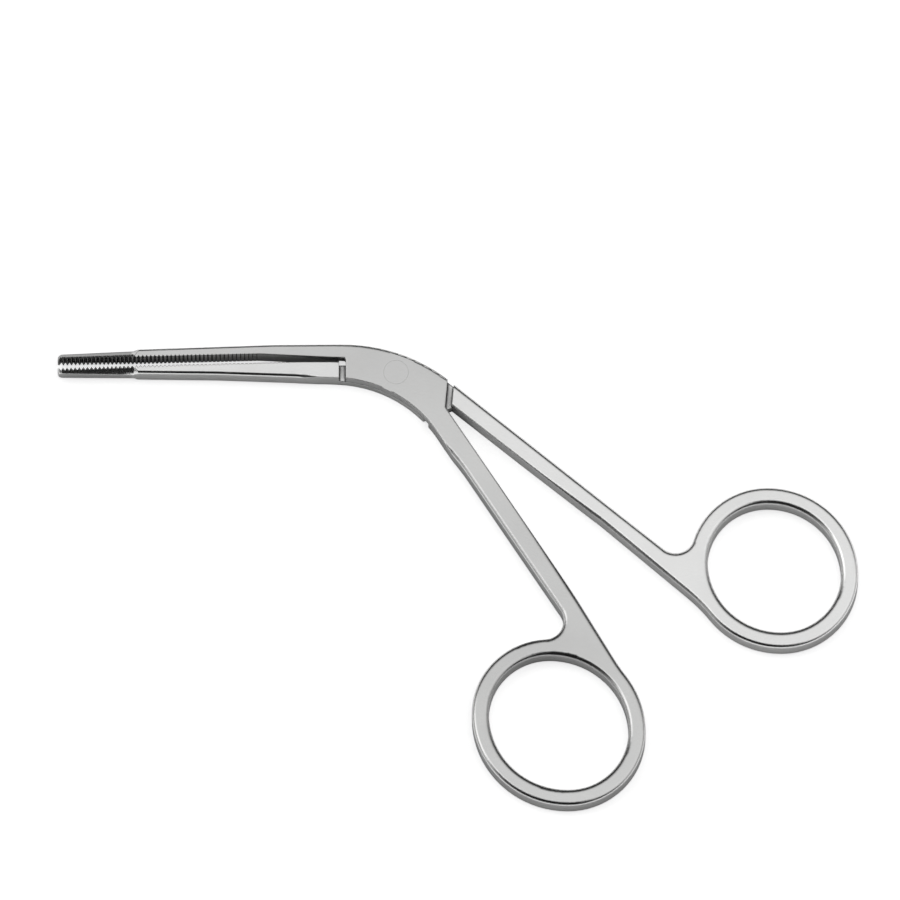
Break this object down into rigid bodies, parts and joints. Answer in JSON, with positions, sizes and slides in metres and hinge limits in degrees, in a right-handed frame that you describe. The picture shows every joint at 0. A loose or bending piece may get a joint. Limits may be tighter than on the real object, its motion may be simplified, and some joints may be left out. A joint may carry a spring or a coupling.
{
  "type": "nasal dressing forceps",
  "caption": "Angled ring-handled forceps with slim serrated half-round jaws and a lap joint, for placing and removing dressings in the nose.",
  "frame": {"origin": "on the pivot axis, in the underside plane that the forceps lie on", "axes": "+X from the pivot towards the handles, +Y in the plane of the instrument on the upper jaw's side, +Z out of the front face along the pivot axis"},
  "size_m": [0.143, 0.0859, 0.0044],
  "materials": {
    "front_half": "satin stainless steel",
    "rear_half": "satin stainless steel",
    "pivot_rivet": "satin stainless steel, ground flush with the faces"
  },
  "bodies": {
    "front": {"front_half": "front_half", "pivot_rivet": "pivot_rivet"},
    "rear": {"rear_half": "rear_half"}
  },
  "joints": [
    {"name": "pivot", "type": "hinge", "parent": "front", "child": "rear", "pos_m": [0, 0, 0], "axis": [0, 0, 1], "range_deg": [-1.3, 28]}
  ]
}
